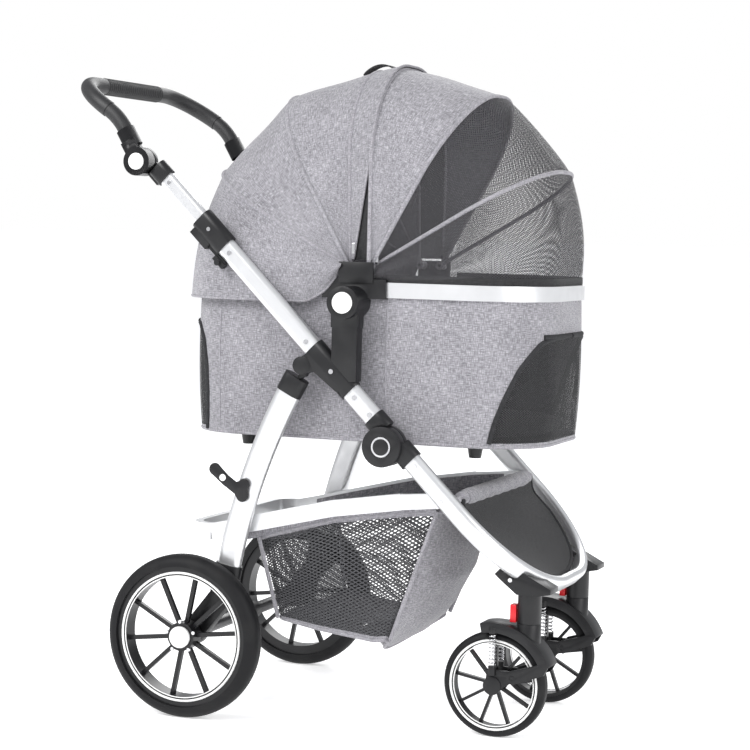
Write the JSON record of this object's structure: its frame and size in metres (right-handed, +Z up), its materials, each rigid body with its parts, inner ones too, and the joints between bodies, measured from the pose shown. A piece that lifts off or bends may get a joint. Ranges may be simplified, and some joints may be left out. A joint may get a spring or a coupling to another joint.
{
  "type": "pet stroller",
  "caption": "Four-wheeled pet stroller with a lift-off fabric carrier, opening canopy, folding metal chassis, tilting handle and basket.",
  "frame": {"origin": "on the floor, midway between the back of the handle bar and the front mudguards, on the middle plane", "axes": "+X forwards, +Y to the stroller's left, +Z up"},
  "size_m": [0.8746, 0.545, 1.0985],
  "materials": {
    "silver_tube": "satin anodised",
    "black_plastic": "fine moulded grain",
    "bright_rivets": "polished",
    "dark_steel": "satin paint",
    "grip_leatherette": "grained",
    "white_plastic": "smooth",
    "red_plastic": "smooth",
    "tyre_rubber": "matt foam rubber",
    "grey_fabric": "heather weave",
    "grey_cushion": "soft weave",
    "dark_fabric": "plain weave",
    "black_mesh": "open mesh"
  },
  "bodies": {
    "push_frame": {"push_tubes": "silver_tube", "upper_tubes": "silver_tube", "collars": "black_plastic", "junction_brackets": "black_plastic", "carrier_sockets": "black_plastic", "handle_hubs": "black_plastic", "fold_hubs_upper": "black_plastic", "push_frame_rivets": "bright_rivets"},
    "trigger_right": {"fold_trigger_right": "black_plastic"},
    "trigger_left": {"fold_trigger_left": "black_plastic"},
    "handle": {"handle_arms": "black_plastic", "handle_grip": "grip_leatherette"},
    "tilt_button_right": {"handle_button_right": "white_plastic"},
    "tilt_button_left": {"handle_button_left": "white_plastic"},
    "front_frame": {"front_frame_tube": "silver_tube", "fold_hubs_lower": "black_plastic", "footrest_bar": "grey_fabric", "footrest_panel": "dark_fabric", "caster_housings": "black_plastic", "front_frame_rivets": "bright_rivets"},
    "lever_right": {"lock_lever_right": "red_plastic"},
    "lever_left": {"lock_lever_left": "red_plastic"},
    "caster_right": {"caster_fork_right": "black_plastic"},
    "caster_left": {"caster_fork_left": "black_plastic"},
    "swing_arm_right": {"suspension_arm_right": "black_plastic", "shock_springs_right": "bright_rivets"},
    "swing_arm_left": {"suspension_arm_left": "black_plastic", "shock_springs_left": "bright_rivets"},
    "front_wheel_right": {"front_tyre_right": "tyre_rubber", "front_rim_right": "black_plastic"},
    "front_wheel_left": {"front_tyre_left": "tyre_rubber", "front_rim_left": "black_plastic"},
    "rear_frame": {"rear_legs": "silver_tube", "axle_brackets": "black_plastic", "rear_axle": "dark_steel", "fold_strap": "black_plastic"},
    "brake": {"brake_pedal": "black_plastic"},
    "rear_wheel_right": {"rear_tyre_right": "tyre_rubber", "rear_rim_right": "black_plastic", "hub_cap_right": "white_plastic"},
    "rear_wheel_left": {"rear_tyre_left": "tyre_rubber", "rear_rim_left": "black_plastic", "hub_cap_left": "white_plastic"},
    "basket": {"basket_rail": "silver_tube", "basket_bag": "grey_fabric"},
    "carrier": {"carrier_rim": "silver_tube", "carrier_tub": "grey_fabric", "carrier_hubs": "black_plastic", "carrier_base": "black_plastic", "cushion": "grey_cushion", "fixed_bows": "grey_fabric", "front_hood_fabric": "grey_fabric", "rear_hood_fabric": "grey_fabric"},
    "lift_button_right": {"release_button_right": "white_plastic"},
    "lift_button_left": {"release_button_left": "white_plastic"},
    "front_hood": {"hood_bow_front": "grey_fabric", "front_hood_mesh": "black_mesh"},
    "front_hood_middle": {"hood_bow_middle": "grey_fabric"},
    "rear_hood": {"hood_bow_rear_zip": "grey_fabric"},
    "rear_hood_middle": {"hood_bow_rear_middle": "grey_fabric"}
  },
  "joints": [
    {"name": "chassis_fold", "type": "hinge", "parent": "push_frame", "child": "front_frame", "pos_m": [0.1645, 0, 0.473], "axis": [0, 1, 0], "range_deg": [0, 130]},
    {"name": "rear_leg_fold", "type": "hinge", "parent": "push_frame", "child": "rear_frame", "pos_m": [0.0165, 0, 0.598], "axis": [0, 1, 0], "range_deg": [0, 82.6]},
    {"name": "basket_rail_fold", "type": "hinge", "parent": "front_frame", "child": "basket", "pos_m": [0.2635, 0, 0.388], "axis": [0, 1, 0], "range_deg": [-85.6, 0], "deforming": ["basket_bag"]},
    {"name": "carrier_lift", "type": "slide", "parent": "push_frame", "child": "carrier", "axis": [0, 0, 1], "range_m": [0, 0.6]},
    {"name": "handle_tilt", "type": "hinge", "parent": "push_frame", "child": "handle", "pos_m": [-0.289, 0, 0.928], "axis": [0, 1, 0], "range_deg": [-70, 25]},
    {"name": "tilt_button_right_push", "type": "slide", "parent": "handle", "child": "tilt_button_right", "axis": [0, 1, 0], "range_m": [0, 0.004], "stiffness_N_per_m": 400, "springref_m": -0.002},
    {"name": "fold_trigger_right_pull", "type": "slide", "parent": "push_frame", "child": "trigger_right", "axis": [-0.7071, 0, 0.7071], "range_m": [0, 0.012], "stiffness_N_per_m": 400, "springref_m": -0.003},
    {"name": "lift_button_right_push", "type": "slide", "parent": "carrier", "child": "lift_button_right", "axis": [0, 1, 0], "range_m": [0, 0.004], "stiffness_N_per_m": 400, "springref_m": -0.002},
    {"name": "caster_lock_right", "type": "slide", "parent": "front_frame", "child": "lever_right", "axis": [0, 0, 1], "range_m": [0, 0.008]},
    {"name": "caster_swivel_right", "type": "hinge", "parent": "front_frame", "child": "caster_right", "pos_m": [0.3951, -0.144, 0.187], "axis": [0, 0, 1], "continuous": true},
    {"name": "front_suspension_right", "type": "hinge", "parent": "caster_right", "child": "swing_arm_right", "pos_m": [0.3755, -0.144, 0.104], "axis": [0, 1, 0], "range_deg": [0, 8], "stiffness_Nm_per_rad": 8, "springref_deg": -22.92, "deforming": ["shock_springs_right"]},
    {"name": "front_wheel_right_spin", "type": "hinge", "parent": "swing_arm_right", "child": "front_wheel_right", "pos_m": [0.3409, -0.144, 0.0869], "axis": [0, 1, 0], "continuous": true},
    {"name": "rear_wheel_right_spin", "type": "hinge", "parent": "rear_frame", "child": "rear_wheel_right", "pos_m": [-0.1735, -0.25, 0.1375], "axis": [0, 1, 0], "continuous": true},
    {"name": "tilt_button_left_push", "type": "slide", "parent": "handle", "child": "tilt_button_left", "axis": [0, -1, 0], "range_m": [0, 0.004], "stiffness_N_per_m": 400, "springref_m": -0.002},
    {"name": "fold_trigger_left_pull", "type": "slide", "parent": "push_frame", "child": "trigger_left", "axis": [-0.7071, 0, 0.7071], "range_m": [0, 0.012], "stiffness_N_per_m": 400, "springref_m": -0.003},
    {"name": "lift_button_left_push", "type": "slide", "parent": "carrier", "child": "lift_button_left", "axis": [0, -1, 0], "range_m": [0, 0.004], "stiffness_N_per_m": 400, "springref_m": -0.002},
    {"name": "caster_lock_left", "type": "slide", "parent": "front_frame", "child": "lever_left", "axis": [0, 0, 1], "range_m": [0, 0.008]},
    {"name": "caster_swivel_left", "type": "hinge", "parent": "front_frame", "child": "caster_left", "pos_m": [0.3951, 0.144, 0.187], "axis": [0, 0, 1], "continuous": true},
    {"name": "front_suspension_left", "type": "hinge", "parent": "caster_left", "child": "swing_arm_left", "pos_m": [0.3755, 0.144, 0.104], "axis": [0, 1, 0], "range_deg": [0, 8], "stiffness_Nm_per_rad": 8, "springref_deg": -22.92, "deforming": ["shock_springs_left"]},
    {"name": "front_wheel_left_spin", "type": "hinge", "parent": "swing_arm_left", "child": "front_wheel_left", "pos_m": [0.3409, 0.144, 0.0869], "axis": [0, 1, 0], "continuous": true},
    {"name": "rear_wheel_left_spin", "type": "hinge", "parent": "rear_frame", "child": "rear_wheel_left", "pos_m": [-0.1735, 0.25, 0.1375], "axis": [0, 1, 0], "continuous": true},
    {"name": "brake_press", "type": "hinge", "parent": "rear_frame", "child": "brake", "pos_m": [-0.1735, 0, 0.1375], "axis": [0, -1, 0], "range_deg": [0, 25], "stiffness_Nm_per_rad": 2, "springref_deg": -11.46},
    {"name": "front_hood_open", "type": "hinge", "parent": "carrier", "child": "front_hood_middle", "pos_m": [0.1155, 0, 0.762], "axis": [0, -1, 0], "range_deg": [0, 20], "deforming": ["front_hood_fabric"]},
    {"name": "front_bow_follow", "type": "hinge", "parent": "front_hood_middle", "child": "front_hood", "pos_m": [0.1155, 0, 0.762], "axis": [0, -1, 0], "range_deg": [0, 25], "deforming": ["front_hood_mesh"]},
    {"name": "rear_hood_open", "type": "hinge", "parent": "carrier", "child": "rear_hood_middle", "pos_m": [0.0775, 0, 0.762], "axis": [0, -1, 0], "range_deg": [0, 24], "deforming": ["rear_hood_fabric"]},
    {"name": "rear_bow_follow", "type": "hinge", "parent": "rear_hood_middle", "child": "rear_hood", "pos_m": [0.0775, 0, 0.762], "axis": [0, -1, 0], "range_deg": [0, 24]}
  ],
  "couplings": [
    {"joint": "rear_leg_fold", "follows": "chassis_fold", "ratio": 0.635},
    {"joint": "basket_rail_fold", "follows": "chassis_fold", "ratio": -0.658},
    {"joint": "carrier_lift", "follows": "chassis_fold", "m_per_rad": 0.2644},
    {"joint": "front_bow_follow", "follows": "front_hood_open", "ratio": 1.25},
    {"joint": "rear_bow_follow", "follows": "rear_hood_open", "ratio": 1}
  ]
}
